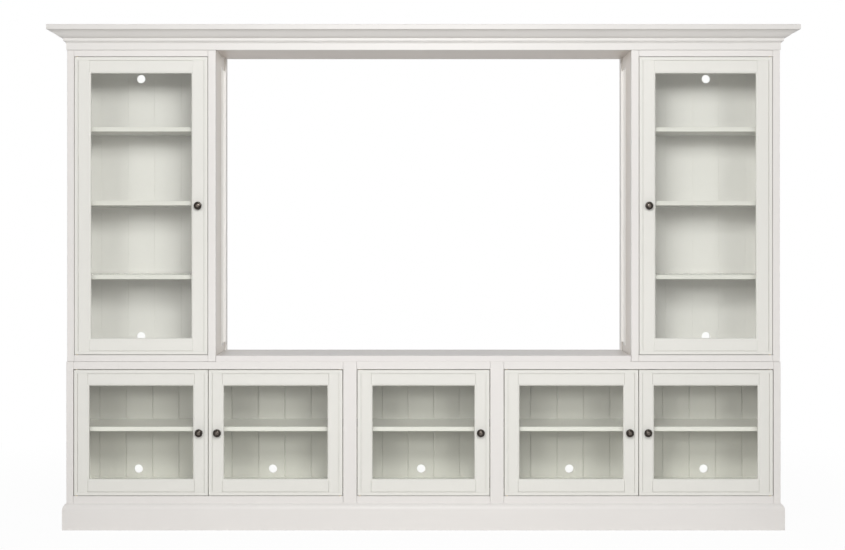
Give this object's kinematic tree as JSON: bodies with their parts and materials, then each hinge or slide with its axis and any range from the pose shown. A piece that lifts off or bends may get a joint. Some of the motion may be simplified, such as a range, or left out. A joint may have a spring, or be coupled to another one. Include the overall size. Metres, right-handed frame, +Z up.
{
  "type": "entertainment wall unit",
  "caption": "Painted entertainment wall unit: a glazed base cabinet and tall glazed hutches frame an open television bay under a bridging moulded cornice.",
  "frame": {"origin": "middle of the unit's footprint on the floor, crown moulding included", "axes": "+X to the right as seen from the front, +Y to the rear, +Z up; the front looks along -Y"},
  "size_m": [2.99, 0.45, 2.015],
  "materials": {
    "case_paint": "warm white satin paint on wood",
    "door_paint": "warm white satin paint on wood",
    "moulding_paint": "warm white satin paint on wood",
    "inside_paint": "warm white satin paint on wood, greenish behind the glass",
    "inner_wood": "bare softwood and board, out of sight",
    "door_glass": "clear float glass",
    "knob_bronze": "dark oil-rubbed bronze",
    "steel": "zinc-plated",
    "brass": "plain turned",
    "catch_plastic": "white moulded"
  },
  "bodies": {
    "cabinet": {"plinth": "moulding_paint", "plinth_rails": "inner_wood", "base_sides": "case_paint", "base_partitions": "inside_paint", "base_floors": "inside_paint", "base_top": "case_paint", "base_stiles": "case_paint", "base_rails": "case_paint", "base_back_left": "inside_paint", "base_back_centre": "inside_paint", "base_back_right": "inside_paint", "base_shelves": "inside_paint", "hutch_left_case": "case_paint", "hutch_left_frame": "case_paint", "hutch_left_back": "inside_paint", "hutch_left_shelves": "inside_paint", "hutch_right_case": "case_paint", "hutch_right_frame": "case_paint", "hutch_right_back": "inside_paint", "hutch_right_shelves": "inside_paint", "tv_platform": "case_paint", "bay_battens": "case_paint", "bridge_deck": "case_paint", "bridge_ribs": "inner_wood", "wall_rail": "inner_wood", "frieze": "moulding_paint", "crown_moulding": "moulding_paint", "dust_cover": "inner_wood", "shelf_pins": "brass", "pivot_bushes": "brass", "door_catches": "catch_plastic", "connector_bolts": "steel"},
    "door_1": {"door_1_frame": "door_paint", "door_1_glass": "door_glass", "door_1_knob": "knob_bronze", "door_1_pivots": "steel"},
    "door_2": {"door_2_frame": "door_paint", "door_2_glass": "door_glass", "door_2_knob": "knob_bronze", "door_2_pivots": "steel"},
    "door_3": {"door_3_frame": "door_paint", "door_3_glass": "door_glass", "door_3_knob": "knob_bronze", "door_3_pivots": "steel"},
    "door_4": {"door_4_frame": "door_paint", "door_4_glass": "door_glass", "door_4_knob": "knob_bronze", "door_4_pivots": "steel"},
    "door_5": {"door_5_frame": "door_paint", "door_5_glass": "door_glass", "door_5_knob": "knob_bronze", "door_5_pivots": "steel"},
    "hutch_door_left": {"hutch_door_left_frame": "door_paint", "hutch_door_left_glass": "door_glass", "hutch_door_left_knob": "knob_bronze", "hutch_door_left_pivots": "steel"},
    "hutch_door_right": {"hutch_door_right_frame": "door_paint", "hutch_door_right_glass": "door_glass", "hutch_door_right_knob": "knob_bronze", "hutch_door_right_pivots": "steel"}
  },
  "joints": [
    {"name": "door_1_hinge", "type": "hinge", "parent": "cabinet", "child": "door_1", "pos_m": [-1.388, -0.149, 0.388], "axis": [0, 0, -1], "range_deg": [0, 110]},
    {"name": "door_2_hinge", "type": "hinge", "parent": "cabinet", "child": "door_2", "pos_m": [-0.3335, -0.149, 0.388], "axis": [0, 0, 1], "range_deg": [0, 90]},
    {"name": "door_3_hinge", "type": "hinge", "parent": "cabinet", "child": "door_3", "pos_m": [-0.2545, -0.149, 0.388], "axis": [0, 0, -1], "range_deg": [0, 90]},
    {"name": "door_4_hinge", "type": "hinge", "parent": "cabinet", "child": "door_4", "pos_m": [0.3335, -0.149, 0.388], "axis": [0, 0, -1], "range_deg": [0, 90]},
    {"name": "door_5_hinge", "type": "hinge", "parent": "cabinet", "child": "door_5", "pos_m": [1.388, -0.149, 0.388], "axis": [0, 0, 1], "range_deg": [0, 110]},
    {"name": "hutch_door_left_hinge", "type": "hinge", "parent": "cabinet", "child": "hutch_door_left", "pos_m": [-1.386, -0.149, 1.296], "axis": [0, 0, -1], "range_deg": [0, 110]},
    {"name": "hutch_door_right_hinge", "type": "hinge", "parent": "cabinet", "child": "hutch_door_right", "pos_m": [1.386, -0.149, 1.296], "axis": [0, 0, 1], "range_deg": [0, 110]}
  ]
}
